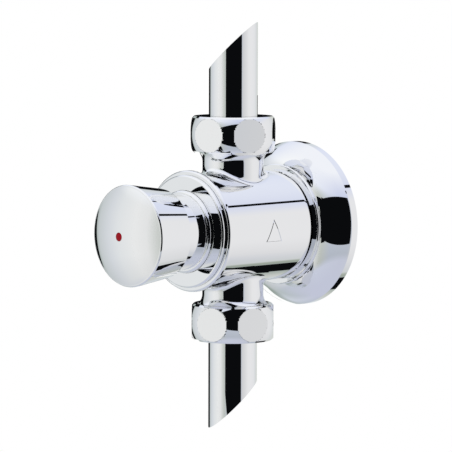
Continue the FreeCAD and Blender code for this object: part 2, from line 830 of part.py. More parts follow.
# Spring washer and return spring in the rear chamber
spring_top = disc_bottom - z.spring_washer_thickness
spring_washer_radius = disc_radius + z.spring_washer_step
ring("spring_washer", spring_top, disc_bottom, spring_washer_radius - z.spring_washer_width,
     spring_washer_radius)


def spring_path(radius, bottom, top, turns):
    """A helix about the valve's axis as biarcs, two to each quarter turn."""
    pitch = (top - bottom) / turns
    quarter = math.pi / 2

    def point(angle):
        along = bottom + pitch * angle / (2 * math.pi)
        return FreeCAD.Vector(radius * math.cos(angle), -along, radius * math.sin(angle))

    def heading(angle):
        slope = pitch / (2 * math.pi)
        return FreeCAD.Vector(-radius * math.sin(angle), -slope, radius * math.cos(angle)).normalize()

    edges = []
    for step in range(int(round(turns * 4))):
        start, finish = step * quarter, (step + 1) * quarter
        first, last = point(start), point(finish)
        chord = last - first
        leaving, arriving = heading(start), heading(finish)
        along = chord.dot(leaving + arriving)
        spread = 2 * (1 - leaving.dot(arriving))
        reach = (math.sqrt(along * along + spread * chord.dot(chord)) - along) / spread
        join = (first + leaving * reach + last - arriving * reach) * 0.5
        for near, far, tangent in ((first, join, leaving), (last, join, arriving * -1)):
            edges.append(tangent_arc(near, far, tangent))
    return Part.Wire(Part.__sortEdges__(edges))


def tangent_arc(near, far, tangent):
    """The arc that leaves one point along a tangent and ends at another."""
    chord = far - near
    normal = (chord - tangent * chord.dot(tangent)).normalize()
    radius = chord.dot(chord) / (2 * chord.dot(normal))
    centre = near + normal * radius
    bisector = ((near - centre) + (far - centre)).normalize()
    return Part.Arc(near, centre + bisector * radius, far).toShape()


def least_gap(radius, length, turns, wire):
    """Least clear distance between neighbouring turns, measured on points of the centreline."""
    steps = int(round(turns * 72))
    points = []
    for step in range(steps + 1):
        angle = 2 * math.pi * turns * step / steps
        points.append(FreeCAD.Vector(radius * math.cos(angle), -length * step / steps,
                                     radius * math.sin(angle)))
    gap = length
    for index, first in enumerate(points):
        for second in points[index + 36:]:
            gap = min(gap, first.distanceToPoint(second) - 2 * wire)
    return gap


wire_radius = z.spring_wire.number
spring_low = chamber_floor.number + wire_radius
spring_high = spring_top.number - wire_radius
spring_radius = (z.rear_chamber - z.spring_play - z.spring_wire).number
path = spring_path(spring_radius, spring_low, spring_high, z.spring_turns.number)
start_edge = path.OrderedEdges[0]
start_point = start_edge.valueAt(start_edge.FirstParameter)
start_heading = start_edge.tangentAt(start_edge.FirstParameter)
section = Part.Wire(Part.makeCircle(wire_radius, start_point, start_heading))
return_spring = doc.addObject("Part::Feature", "return_spring")
return_spring.Label = "return_spring"
return_spring.Shape = path.makePipeShell([section], True, False)
return_spring.Placement = FreeCAD.Placement()
parts.append(return_spring)
print("return_spring least gap between turns: %.2f mm" % least_gap(
    spring_radius, spring_high - spring_low, z.spring_turns.number, wire_radius))

doc.recompute()
for item in doc.Objects:
    if "Invalid" in item.State or "Error" in item.State:
        raise RuntimeError("%s failed: %s" % (item.Label, item.State))
for item in parts:
    if item.Shape.isNull() or not item.Shape.isValid() or not item.Shape.Solids:
        raise RuntimeError("%s has no valid solid" % item.Label)

os.makedirs("parts", exist_ok=True)
for item in parts:
    item.Shape.exportStep("parts/%s.step" % item.Label)
    print("%-20s %9.1f mm3, %d solid(s)" % (item.Label, item.Shape.Volume, len(item.Shape.Solids)))
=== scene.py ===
import json
import logging
import math
from dataclasses import dataclass, field
from enum import Enum

import bpy
from mathutils import Matrix, Vector


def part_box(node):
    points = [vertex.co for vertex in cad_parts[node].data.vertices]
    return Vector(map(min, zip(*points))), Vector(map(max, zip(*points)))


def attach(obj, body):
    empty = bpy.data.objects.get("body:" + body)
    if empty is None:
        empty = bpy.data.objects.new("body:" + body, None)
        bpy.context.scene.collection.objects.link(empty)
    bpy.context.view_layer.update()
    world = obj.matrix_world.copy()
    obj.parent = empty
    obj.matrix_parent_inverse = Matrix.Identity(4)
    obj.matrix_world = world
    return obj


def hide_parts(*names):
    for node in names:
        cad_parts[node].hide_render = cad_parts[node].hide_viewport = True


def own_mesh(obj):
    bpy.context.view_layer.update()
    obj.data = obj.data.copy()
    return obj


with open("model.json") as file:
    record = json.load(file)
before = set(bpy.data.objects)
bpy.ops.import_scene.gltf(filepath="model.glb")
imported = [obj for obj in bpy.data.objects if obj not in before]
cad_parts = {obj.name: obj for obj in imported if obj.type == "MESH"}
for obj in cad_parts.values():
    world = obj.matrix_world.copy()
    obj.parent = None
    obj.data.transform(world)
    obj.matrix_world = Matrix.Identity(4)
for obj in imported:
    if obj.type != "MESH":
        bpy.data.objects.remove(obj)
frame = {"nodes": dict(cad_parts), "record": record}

MM = 0.001
TURN_STEPS = 256
MERGE_DISTANCE = 1e-6
LEAST_EDGE = 1e-7
log = logging.getLogger("timed_shower_valve")

Point = tuple[float, float]
Colour = tuple[float, float, float]


class Slot(Enum):
    """The record's material slots."""

    CHROME = "polished_chrome"
    BRASS = "turned_brass"
    STEEL = "spring_steel"
    ZINC = "zinc_plate"
    RUBBER = "seal_rubber"
    ACETAL = "white_acetal"
    RED = "red_enamel"


class Body(Enum):
    """The bodies that pieces ride on."""

    VALVE = "valve"
    PLUNGER = "plunger"


class Axis(Enum):
    """The two axes that pieces are turned about."""

    VALVE = "valve"
    PIPE = "pipe"


# Finishes


class NodeSheet:
    """A material whose shader nodes are laid down one by one."""

    def __init__(self, name: str) -> None:
        """Starts an empty material.

        Args:
            name: the material's name.
        """
        self.material = bpy.data.materials.new(name)
        self.material.use_nodes = True
        self.tree = self.material.node_tree
        self.tree.nodes.clear()

    def add(self, kind: str, settings: dict | None = None, **inputs: object) -> bpy.types.Node:
        """Adds a node, sets it up and feeds its sockets.

        Args:
            kind: the node's type without the ShaderNode prefix.
            settings: properties of the node.
            inputs: a value or another node's socket for each input, with _ for a space.

        Returns:
            The new node.
        """
        node = self.tree.nodes.new("ShaderNode" + kind)
        for name, value in (settings or {}).items():
            setattr(node, name, value)
        for name, value in inputs.items():
            socket = node.inputs[int(name[1:]) if name[1:].isdigit() else name.replace("_", " ")]
            if isinstance(value, bpy.types.NodeSocket):
                self.tree.links.new(value, socket)
            else:
                socket.default_value = value
        return node

    def noise(self, scale: float, detail: float = 3.0, stretch: tuple = (1, 1, 1)) -> bpy.types.NodeSocket:
        """Smooth noise in the piece's own space.

        Args:
            scale: waves per metre.
            detail: octaves of finer noise.
            stretch: scale of each axis beside the others.

        Returns:
            The noise's factor socket.
        """
        place = self.add("TexCoord").outputs["Object"]
        mapped = self.add("Mapping", Vector=place, Scale=stretch).outputs["Vector"]
        return self.add("TexNoise", Vector=mapped, Scale=scale, Detail=detail).outputs["Fac"]

    def between(self, factor: bpy.types.NodeSocket, low: float, high: float) -> bpy.types.NodeSocket:
        """Spreads a factor over a range.

        Args:
            factor: a value from 0 to 1.
            low: what 0 becomes.
            high: what 1 becomes.

        Returns:
            The socket of the new value.
        """
        return self.add("MapRange", Value=factor, To_Min=low, To_Max=high).outputs["Result"]

    def tint(self, factor: bpy.types.NodeSocket, first: Colour, second: Colour) -> bpy.types.NodeSocket:
        """Blends two colours.

        Args:
            factor: a value from 0 to 1.
            first: the colour at 0.
            second: the colour at 1.

        Returns:
            The socket of the blended colour.
        """
        mix = self.add("MixRGB", _0=factor, _1=(*first, 1.0), _2=(*second, 1.0))
        return mix.outputs["Color"]

    def surface(self, shader: bpy.types.Node) -> bpy.types.Material:
        """Ends the sheet with its surface shader and returns the material."""
        self.add("OutputMaterial", Surface=shader.outputs[0])
        return self.material


@dataclass(frozen=True)
class MetalFinish:
    """A bare or plated metal with the fine marks that its making leaves.

    Scales are waves per metre and depths are metres.
    """

    colour: Colour
    shade: Colour
    roughness: tuple[float, float]
    cloud_scale: float
    mark_scale: float
    mark_stretch: tuple[float, float, float]
    mark_depth: float
    wave_depth: float = 0.0
    mark_detail: float = 4.0

    def material(self, slot: Slot) -> bpy.types.Material:
        """Makes the metal.

        Args:
            slot: the slot that it dresses.

        Returns:
            The material.
        """
        sheet = NodeSheet(slot.value)
        cloud = sheet.noise(self.cloud_scale)
        marks = sheet.noise(self.mark_scale, self.mark_detail, self.mark_stretch)
        waves = sheet.add("Bump", Height=cloud, Strength=1.0, Distance=self.wave_depth)
        height = sheet.add("Bump", Height=marks, Strength=1.0, Distance=self.mark_depth,
                           Normal=waves.outputs["Normal"])
        return sheet.surface(sheet.add(
            "BsdfPrincipled",
            Base_Color=sheet.tint(cloud, self.colour, self.shade),
            Metallic=1.0,
            Roughness=sheet.between(marks, *self.roughness),
            Normal=height.outputs["Normal"],
        ))


@dataclass(frozen=True)
class MouldedFinish:
    """A moulded or painted surface that isn't metal."""

    colour: Colour
    shade: Colour
    roughness: tuple[float, float]
    grain_scale: float
    grain_depth: float
    shine: float = 0.5

    def material(self, slot: Slot) -> bpy.types.Material:
        """Makes the moulded surface.

        Args:
            slot: the slot that it dresses.

        Returns:
            The material.
        """
        sheet = NodeSheet(slot.value)
        grain = sheet.noise(self.grain_scale)
        height = sheet.add("Bump", Height=grain, Strength=1.0, Distance=self.grain_depth)
        return sheet.surface(sheet.add(
            "BsdfPrincipled",
            Base_Color=sheet.tint(grain, self.colour, self.shade),
            Roughness=sheet.between(grain, *self.roughness),
            Specular_IOR_Level=self.shine,
            Normal=height.outputs["Normal"],
        ))


FINISHES = {
    Slot.CHROME: MetalFinish(
        colour=(0.91, 0.91, 0.91), shade=(0.89, 0.895, 0.90), roughness=(0.0, 0.02), cloud_scale=55.0,
        mark_scale=900.0, mark_stretch=(1, 1, 1), mark_depth=0.0000001, wave_depth=0.000006),
    Slot.BRASS: MetalFinish(
        colour=(0.80, 0.60, 0.28), shade=(0.72, 0.50, 0.20), roughness=(0.18, 0.34), cloud_scale=90.0,
        mark_scale=2600.0, mark_stretch=(0.2, 1, 0.2), mark_depth=0.00002),
    Slot.STEEL: MetalFinish(
        colour=(0.62, 0.61, 0.60), shade=(0.50, 0.49, 0.48), roughness=(0.16, 0.30), cloud_scale=140.0,
        mark_scale=4200.0, mark_stretch=(1, 0.3, 1), mark_depth=0.00001),
    Slot.ZINC: MetalFinish(
        colour=(0.66, 0.67, 0.69), shade=(0.50, 0.52, 0.56), roughness=(0.28, 0.46), cloud_scale=420.0,
        mark_scale=1900.0, mark_stretch=(1, 1, 1), mark_depth=0.00003),
    Slot.RUBBER: MouldedFinish(
        colour=(0.018, 0.018, 0.020), shade=(0.040, 0.040, 0.044), roughness=(0.50, 0.72),
        grain_scale=1800.0, grain_depth=0.00003),
    Slot.ACETAL: MouldedFinish(
        colour=(0.80, 0.80, 0.77), shade=(0.70, 0.70, 0.66), roughness=(0.32, 0.46),
        grain_scale=900.0, grain_depth=0.00001),
    Slot.RED: MouldedFinish(
        colour=(0.33, 0.003, 0.012), shade=(0.24, 0.002, 0.008), roughness=(0.10, 0.22),
        grain_scale=1500.0, grain_depth=0.00001, shine=0.08),
}


class Dresser:
    """Gives each piece its finish and its body, and hides the CAD nodes that it stands for."""

    def __init__(self) -> None:
        """Makes every finish once."""
        self.materials = {slot: finish.material(slot) for slot, finish in FINISHES.items()}

    def dress(self, piece: bpy.types.Object, *nodes: str, slot: Slot = Slot.CHROME,
              body: Body = Body.VALVE) -> None:
        """Puts a finish on a piece and hands it to its body.

        Args:
            piece: the finished mesh, in place.
            nodes: the CAD nodes that it stands for.
            slot: the material slot that it takes its finish from.
            body: the body that it rides on.
        """
        piece.data.materials.clear()
        piece.data.materials.append(self.materials[slot])
        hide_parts(*nodes)
        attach(piece, body.value)
        log.info("%s: %d faces", piece.name, len(piece.data.polygons))

    def dress_cad_nodes(self) -> None:
        """Gives the CAD nodes that stay in view the finish of their slot."""
        for subpart in frame["record"]["subparts"]:
            node = frame["nodes"][subpart["node"]]
            node.data.materials.clear()
            node.data.materials.append(self.materials[Slot(subpart["material_slot"])])
            for face in node.data.polygons:
                face.material_index = 0


# Modelling


class Outline:
    """The outline of a turned piece, as points along its axis and out from it."""

    def __init__(self, along: float, out: float) -> None:
        """Starts the outline at a point."""
        self.points: list[Point] = [(along, out)]

    def line(self, *points: Point) -> "Outline":
        """Adds straight runs to each point and returns the outline."""
        self.points.extend(points)
        return self

    def arc(self, finish: Point, radius: float, steps: int = 12) -> "Outline":
        """Adds an arc.

        Args:
            finish: the arc's other end.
            radius: the arc's radius, positive when its centre is on the right.
            steps: chords along the arc.

        Returns:
            The outline.
        """
        first, last = Vector(self.points[-1]), Vector(finish)
        chord = last - first
        right = Vector((chord.y, -chord.x)).normalized()
        rise = math.sqrt(max(radius * radius - chord.length_squared / 4, 0.0))
        centre = (first + last) / 2 + right * math.copysign(rise, radius)
        opening, closing = (math.atan2(end.y - centre.y, end.x - centre.x) for end in (first, last))
        sweep = (closing - opening + math.pi) % math.tau - math.pi
        angles = [opening + sweep * step / steps for step in range(1, steps)]
        reach = abs(radius)
        self.points.extend((centre.x + reach * math.cos(angle), centre.y + reach * math.sin(angle))
                           for angle in angles)
        self.points.append(finish)
        return self


def clear_selection() -> None:
    """Leaves edit mode with nothing selected."""
    if bpy.context.object and bpy.context.object.mode != "OBJECT":
        bpy.ops.object.mode_set(mode="OBJECT")
    bpy.ops.object.select_all(action="DESELECT")


def settle(piece: bpy.types.Object, sharp_angle: float = 20.0) -> bpy.types.Object:
    """Applies a piece's place, smooths it between its sharp edges and evens its normals.

    Args:
        piece: the piece, active and selected.
        sharp_angle: degrees past which an edge stays sharp.

    Returns:
        The piece.
    """
    bpy.ops.object.mode_set(mode="OBJECT")
    bpy.ops.object.transform_apply(location=True, rotation=True, scale=True)
    bpy.ops.object.shade_smooth_by_angle(angle=math.radians(sharp_angle))
    weighted = piece.modifiers.new("even_normals", "WEIGHTED_NORMAL")
    weighted.keep_sharp = True
    bpy.ops.object.modifier_apply(modifier=weighted.name)
    return piece


def turn(name: str, outline: Outline, axis: Axis = Axis.VALVE, closed: bool = True) -> bpy.types.Object:
    """Turns an outline about an axis, as on a lathe.

    Args:
        name: the piece's name.
        outline: distances from the wall and radii, or heights and radii on the pipes' axis.
        axis: the axis that the outline is turned about.
        closed: whether the outline comes back to its first point.

    Returns:
        The piece, still in edit mode with its normals facing out.
    """
    clear_selection()
    port = port_axis_y()
    points = [Vector((out, -along, 0)) if axis is Axis.VALVE else Vector((out, port, along))
              for along, out in outline.points]
    if closed:
        points.append(points[0])
    # A plane merged to its middle is the outline's first point.
    bpy.ops.mesh.primitive_plane_add(size=MM, location=points[0])
    piece = bpy.context.object
    piece.name = piece.data.name = name
    bpy.ops.object.mode_set(mode="EDIT")
    bpy.ops.mesh.select_mode(type="VERT")
    bpy.ops.mesh.merge(type="CENTER")
    for last, point in zip(points, points[1:]):
        bpy.ops.mesh.extrude_region_move(TRANSFORM_OT_translate={"value": point - last})
    bpy.ops.mesh.select_all(action="SELECT")
    bpy.ops.mesh.remove_doubles(threshold=MERGE_DISTANCE)
    centre, direction = ((0, 0, 0), (0, 1, 0)) if axis is Axis.VALVE else ((0, port, 0), (0, 0, 1))
    bpy.ops.mesh.spin(steps=TURN_STEPS, angle=math.tau, center=centre, axis=direction)
    bpy.ops.mesh.select_all(action="SELECT")
    bpy.ops.mesh.remove_doubles(threshold=MERGE_DISTANCE)
    bpy.ops.mesh.normals_make_consistent(inside=False)
    return piece


def mesh_piece(name: str, points: list[Vector], faces: list[tuple[int, ...]]) -> bpy.types.Object:
    """Makes a piece from points and faces that a formula gave.

    Args:
        name: the piece's name.
        points: the vertices.
        faces: indices of each face's corners.

    Returns:
        The piece, still in edit mode with its doubles merged and its normals facing out.
    """
    clear_selection()
    mesh = bpy.data.meshes.new(name)
    mesh.from_pydata(points, [], faces)
    piece = bpy.data.objects.new(name, mesh)
    bpy.context.scene.collection.objects.link(piece)
    bpy.context.view_layer.objects.active = piece
    piece.select_set(True)
    bpy.ops.object.mode_set(mode="EDIT")
    bpy.ops.mesh.select_all(action="SELECT")
    bpy.ops.mesh.remove_doubles(threshold=MERGE_DISTANCE)
    bpy.ops.mesh.dissolve_degenerate(threshold=LEAST_EDGE)
    bpy.ops.mesh.normals_make_consistent(inside=False)
    return piece


def port_axis_y() -> float:
    """Where the pipes' axis crosses the valve's axis, as the frame places it."""
    low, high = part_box("outlet_pipe")
    return (low.y + high.y) / 2


def wall_span(node: str) -> tuple[float, float, float]:
    """Nearest and furthest distance from the wall, and the radius, of a node on the valve's axis."""
    low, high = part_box(node)
    return -high.y, -low.y, high.x


# The valve's pieces


@dataclass
class ButtonHead:
    """The domed push button with its tapered skirt, and the red indicator in it."""

    dresser: Dresser
    rim_drop: float = 0.6 * MM
    rim_step: float = 0.55 * MM
    rim_round: float = 0.7 * MM
    rim_steps: int = 10
    dome: float = 4.05 * MM
    dome_steps: int = 48
    skirt_trim: float = 1.7 * MM
    skirt_radius: float = 16.3 * MM
    skirt_bore: float = 15.5 * MM
    skirt_edge: float = 0.1 * MM
    floor_drop: float = 3.75 * MM
    indicator_gap: float = 0.05 * MM
    indicator_edge: float = 0.12 * MM
    indicator_flatness: float = 8.0
    indicator_steps: tuple[int, int] = (6, 10)

    def build(self) -> None:
        """Builds the button and its indicator."""
        self.build_button()
        self.build_indicator()

    def build_button(self) -> None:
        """Builds the shell: skirt, rounded rim, dome and the hole for the indicator."""
        skirt_end, apex, rim_radius = wall_span("push_button")
        indicator_bottom, _, indicator_radius = wall_span("red_indicator")
        rim = apex - self.dome
        face_radius = rim_radius - self.rim_step
        dome_radius = (face_radius ** 2 + self.dome ** 2) / (2 * self.dome)
        hole = indicator_radius + self.indicator_gap
        hole_mouth = apex - self.dome_sag(dome_radius, hole)
        edge = skirt_end + self.skirt_trim
        outline = Outline(edge, self.skirt_bore).line(
            (edge, self.skirt_radius - self.skirt_edge),
            (edge + self.skirt_edge, self.skirt_radius),
            (rim - self.rim_drop, rim_radius))
        outline.arc((rim, face_radius), self.rim_round, self.rim_steps)
        outline.arc((hole_mouth, hole), dome_radius, self.dome_steps)
        outline.line((indicator_bottom, hole), (indicator_bottom, 0.0), (rim - self.floor_drop, 0.0),
                     (rim - self.floor_drop, self.skirt_bore))
        piece = turn("push_button_chromed", outline)
        self.dresser.dress(settle(piece), "push_button", body=Body.PLUNGER)

    def build_indicator(self) -> None:
        """Builds the red disc, slightly domed, with a rounded edge."""
        bottom, top, radius = wall_span("red_indicator")
        edge = self.indicator_edge
        edge_steps, top_steps = self.indicator_steps
        outline = Outline(bottom, 0.0).line((bottom, radius), (top - edge * 2, radius))
        outline.arc((top - edge, radius - edge), edge, edge_steps)
        outline.arc((top, 0.0), radius * self.indicator_flatness, top_steps)
        piece = turn("red_indicator_glazed", outline, closed=False)
        self.dresser.dress(settle(piece), "red_indicator", slot=Slot.RED, body=Body.PLUNGER)

    @staticmethod
    def dome_sag(dome_radius: float, out: float) -> float:
        """How far the dome has dropped at a distance from the valve's axis."""
        return dome_radius - math.sqrt(dome_radius ** 2 - out ** 2)


@dataclass
class HeadFront:
    """The neck that the button slides over, and the screw ring round it."""

    dresser: Dresser
    collar_radius: float = 13.9 * MM
    collar_bevel: float = 0.5 * MM
    collar_pocket: float = 10.5 * MM
    pocket_floor: float = 66.0 * MM
    stem_bore: float = 3.08 * MM
    cove: float = 1.2 * MM
    bead_width: float = 0.4 * MM
    body_radius: float = 15.0 * MM
    ring_bore: float = 15.2 * MM
    ring_thread: float = 16.95 * MM
    ring_round: float = 0.9 * MM
    ring_edge: float = 20.6 * MM
    ring_groove: float = 0.12 * MM
    groove_radius: float = 20.1 * MM

    def build(self) -> None:
        """Builds the collar and the ring."""
        self.build_collar()
        self.build_ring()

    def build_collar(self) -> None:
        """Builds the collar: a cylinder with a cove and a bead at its foot."""
        bottom, front, flange = wall_span("head_collar")
        ring_seat, ring_face, _ = wall_span("retaining_ring")
        bead = self.collar_radius + self.cove
        outline = Outline(bottom, self.stem_bore).line(
            (self.pocket_floor, self.stem_bore),
            (self.pocket_floor, self.collar_pocket),
            (front, self.collar_pocket),
            (front, self.collar_radius - self.collar_bevel),
            (front - self.collar_bevel, self.collar_radius),
            (ring_face + self.bead_width + self.cove, self.collar_radius))
        outline.arc((ring_face + self.bead_width, bead), -self.cove)
        outline.line((ring_face, bead), (ring_face, self.body_radius), (ring_seat, self.body_radius),
                     (ring_seat, flange), (bottom, flange))
        piece = turn("head_collar_chromed", outline)
        self.dresser.dress(settle(piece), "head_collar")

    def build_ring(self) -> None:
        """Builds the screw ring: flat face, rounded edge and the groove behind it."""
        thread_end, face, _ = wall_span("retaining_ring")
        _, body_front, _ = wall_span("valve_body")
        outline = Outline(thread_end, self.ring_bore).line(
            (thread_end, self.ring_thread),
            (body_front, self.ring_thread),
            (body_front, self.groove_radius),
            (body_front + self.ring_groove, self.groove_radius),
            (body_front + self.ring_groove, self.ring_edge),
            (face - self.ring_round, self.ring_edge))
        outline.arc((face, self.ring_edge - self.ring_round), self.ring_round)
        outline.line((face, self.ring_bore))
        piece = turn("retaining_ring_chromed", outline)
        self.dresser.dress(settle(piece), "retaining_ring")


@dataclass
class BodyCasting:
    """The tee casting: a barrel with a lip, and a spigot up and down that blends into it."""

    dresser: Dresser
    radius: float = 20.5 * MM
    tail_radius: float = 15.0 * MM
    barrel_rear: float = 13.1 * MM
    bevel: float = 1.2 * MM
    lip_width: float = 2.0 * MM
    lip_round: float = 0.9 * MM
    lip_bevel: float = 0.4 * MM
    head_thread: float = 17.0 * MM
    head_depth: float = 8.1 * MM
    waist: float = 11.3 * MM
    blend: float = 3.2 * MM
    port_bore: float = 7.6 * MM
    port_floor: float = 19.0 * MM
    spigot_end: float = 36.0 * MM
    thread_radius: float = 13.2 * MM
    thread_start: float = 29.6 * MM
    shoulder_radius: float = 12.7 * MM
    nut_base: float = 28.0 * MM
    flare_start: float = 24.6 * MM
    flare: float = 4.9 * MM
    waist_steps: int = 8
    blend_steps: int = 24
    patch_rows: int = 16
    patch_angle: float = math.radians(46.0)
    patch_reach: float = 17.0 * MM
    patch_steps: int = 64
    side_steps: int = 48
    arrow_rows: tuple[int, int] = (19, 39)
    arrow_columns: tuple[int, int] = (16, 32)
    arrow_width: float = 7.6 * MM
    arrow_height: float = 7.9 * MM
    arrow_line: float = 0.18 * MM
    arrow_depth: float = 0.106 * MM
    rows_outside: int = 5
    rows_inside: int = 6
    sharp_angle: float = 22.0
    port: float = field(init=False)
    points: list[Vector] = field(init=False, default_factory=list)
    faces: list[tuple[int, ...]] = field(init=False, default_factory=list)

    def __post_init__(self) -> None:
        """Finds how far the pipes' axis lies from the wall."""
        self.port = -port_axis_y()

    def build(self) -> None:
        """Builds the casting from rows of points round the barrel and round each spigot."""
        self.add_barrel()
        for side in (1, -1):
            self.add_spigot(side)
        piece = mesh_piece("valve_body_chromed", self.points, self.faces)
        self.dresser.dress(settle(piece, self.sharp_angle), "valve_body")

    def add_rows(self, rows: list[list[Vector]], open_at: set[tuple[int, int]] = frozenset()) -> None:
        """Adds closed rows of points and the faces between them.

        Args:
            rows: rows with the same number of points each.
            open_at: (row, place) of the faces that are left out.
        """
        start, count = len(self.points), len(rows[0])
        for row in rows:
            self.points.extend(row)
        for row in range(len(rows) - 1):
            for place in range(count):
                if (row, place) in open_at:
                    continue
                following = (place + 1) % count
                low, high = start + row * count, start + (row + 1) * count
                self.faces.append((low + place, low + following, high + following, high + place))

    def barrel_angles(self) -> list[float]:
        """Divides the barrel's round.

        Returns:
            Angles from the top, even within each patch and each side.
        """
        angles = []
        for start, sweep, steps in (
                (-self.patch_angle, 2 * self.patch_angle, self.patch_steps),
                (self.patch_angle, math.pi - 2 * self.patch_angle, self.side_steps),
                (math.pi - self.patch_angle, 2 * self.patch_angle, self.patch_steps),
                (math.pi + self.patch_angle, math.pi - 2 * self.patch_angle, self.side_steps)):
            angles.extend(start + sweep * step / steps for step in range(steps))
        return angles

    def add_barrel(self) -> None:
        """Adds the barrel with its tail, lip and mouth, open where the spigots' patches go."""
        rear, front, lip_radius = wall_span("valve_body")
        patch_low, patch_high = self.port - self.patch_reach, self.port + self.patch_reach
        lip_back = front - self.lip_width
        outline = Outline(rear, 0.0).line(
            (rear, self.tail_radius),
            (self.barrel_rear, self.tail_radius),
            (self.barrel_rear, self.radius - self.bevel),
            (self.barrel_rear + self.bevel, self.radius))
        rear_rows = len(outline.points)
        outline.line(*((patch_low + (patch_high - patch_low) * step / self.patch_steps, self.radius)
                       for step in range(self.patch_steps + 1)))
        outline.line((lip_back, self.radius),
                     (lip_back, lip_radius - self.lip_bevel),
                     (lip_back + self.lip_bevel, lip_radius),
                     (front - self.lip_round, lip_radius))
        outline.arc((front, lip_radius - self.lip_round), self.lip_round)
        outline.line((front, self.head_thread), (front - self.head_depth, self.head_thread),
                     (front - self.head_depth, 0.0))
        angles = self.barrel_angles()
        rows = [[Vector((out * math.sin(angle), -along, out * math.cos(angle))) for angle in angles]
                for along, out in outline.points]
        bottom = self.patch_steps + self.side_steps
        open_at = {(row, first + place) for row in range(rear_rows, rear_rows + self.patch_steps)
                   for first in (0, bottom) for place in range(self.patch_steps)}
        open_at |= {(rear_rows + row, self.patch_steps + place) for row in range(*self.arrow_rows)
                    for place in range(*self.arrow_columns)}
        self.add_rows(rows, open_at)
        self.add_arrow()

    def arrow_window(self) -> tuple[list[Vector], float]:
        """Finds the window left open for the arrow.

        Returns:
            The points of its edge, from its middle, and how far the middle is from the wall.
        """
        first_row, last_row = self.arrow_rows
        first_column, last_column = self.arrow_columns
        middle = (first_row + last_row) // 2
        across = 2 * self.patch_reach / self.patch_steps
        around = self.radius * (math.pi - 2 * self.patch_angle) / self.side_steps
        edge = ([(first_column, row) for row in range(middle, last_row)]
                + [(column, last_row) for column in range(first_column, last_column)]
                + [(last_column, row) for row in range(last_row, first_row, -1)]
                + [(column, first_row) for column in range(last_column, first_column, -1)]
                + [(first_column, row) for row in range(first_row, middle)])
        window = [Vector(((row - middle) * across, (self.side_steps / 2 - column) * around))
                  for column, row in edge]
        return window, self.port - self.patch_reach + across * middle

    def add_arrow(self) -> None:
        """Adds the flow arrow: a triangle engraved in the window left open in the barrel's side."""
        window, centre = self.arrow_window()
        half, tall = self.arrow_width / 2, self.arrow_height
        inner_radius = half * tall / (half + math.hypot(half, tall))
        corners = [Vector((0, tall)), Vector((half, 0)), Vector((-half, 0)), Vector((0, tall))]
        heart = Vector((0, inner_radius))
        side = len(window) // 3
        spokes = [corners[place // side].lerp(corners[place // side + 1], place % side / side) - heart
                  for place in range(len(window))]
        heart -= Vector((0, tall / 2))
        line = self.arrow_line / inner_radius
        outer = [heart + spoke * (1 + line) for spoke in spokes]
        rows = [[self.on_barrel(start.lerp(end, step / self.rows_outside), centre)
                 for start, end in zip(window, outer)] for step in range(self.rows_outside + 1)]
        rows.append([self.on_barrel(heart + spoke, centre, self.arrow_depth) for spoke in spokes])
        rows.extend([self.on_barrel(heart + spoke * (1 - line) * (1 - step / self.rows_inside), centre)
                     for spoke in spokes] for step in range(self.rows_inside + 1))
        self.add_rows(rows)

    def on_barrel(self, place: Vector, centre: float, depth: float = 0.0) -> Vector:
        """A point in the barrel's side.

        Args:
            place: how far along from the centre and how far up round the barrel.
            centre: the centre's distance from the wall.
            depth: how deep the point lies under the surface.

        Returns:
            The point.
        """
        angle = math.pi / 2 - place.y / self.radius
        out = self.radius - depth
        return Vector((out * math.sin(angle), -(centre + place.x), out * math.cos(angle)))

    def spigot_outline(self) -> Outline:
        """Draws the spigot from its bore's floor to the end of its flare.

        Returns:
            The outline, as heights and radii.
        """
        outline = Outline(self.port_floor, 0.0).line(
            (self.port_floor, self.port_bore),
            (self.spigot_end, self.port_bore),
            (self.spigot_end, self.thread_radius),
            (self.thread_start, self.thread_radius),
            (self.thread_start, self.shoulder_radius),
            (self.nut_base, self.shoulder_radius))
        return outline.arc((self.flare_start, self.waist), self.flare)

    def add_spigot(self, side: int) -> None:
        """Adds a spigot, the rolling blend at its foot and the patch of barrel round it.

        Args:
            side: 1 for the upper spigot, -1 for the lower one.
        """
        count = 4 * self.patch_steps
        angles = [math.tau * (step / count - 0.125) for step in range(count)]
        rows = [[Vector((out * math.cos(angle), out * math.sin(angle), height)) for angle in angles]
                for height, out in self.spigot_outline().points]
        feet = [self.blend_foot(angle) for angle in angles]
        for step in range(1, self.waist_steps + 1):
            share = step / self.waist_steps
            rows.append([Vector((self.waist * math.cos(angle), self.waist * math.sin(angle),
                                 self.flare_start + (foot.z - self.flare_start) * share))
                         for angle, foot in zip(angles, feet)])
        for step in range(1, self.blend_steps + 1):
            share = step / self.blend_steps
            rows.append([self.blend_point(angle, foot, share) for angle, foot in zip(angles, feet)])
        for step in range(1, self.patch_rows + 1):
            share = step / self.patch_rows
            rows.append([self.patch_point(foot, place, share) for place, foot in enumerate(feet)])
        placed = [[Vector((point.x, point.y - self.port, point.z * side)) for point in row] for row in rows]
        self.add_rows(placed)

    def blend_foot(self, angle: float) -> Vector:
        """Places the ball that rolls between the spigot and the barrel.

        Args:
            angle: where it is, round the spigot.

        Returns:
            Its centre.
        """
        reach = self.waist + self.blend
        across = reach * math.cos(angle)
        rise = math.sqrt((self.radius + self.blend) ** 2 - across ** 2)
        return Vector((across, reach * math.sin(angle), rise))

    def blend_point(self, angle: float, ball: Vector, share: float) -> Vector:
        """A point of the blend.

        Args:
            angle: where it is, round the spigot.
            ball: the rolling ball's centre there.
            share: 0 on the spigot, 1 on the barrel.

        Returns:
            The point.
        """
        on_spigot = Vector((-math.cos(angle), -math.sin(angle), 0.0))
        on_barrel = -Vector((ball.x, 0.0, ball.z)).normalized()
        return ball + on_spigot.slerp(on_barrel, share) * self.blend

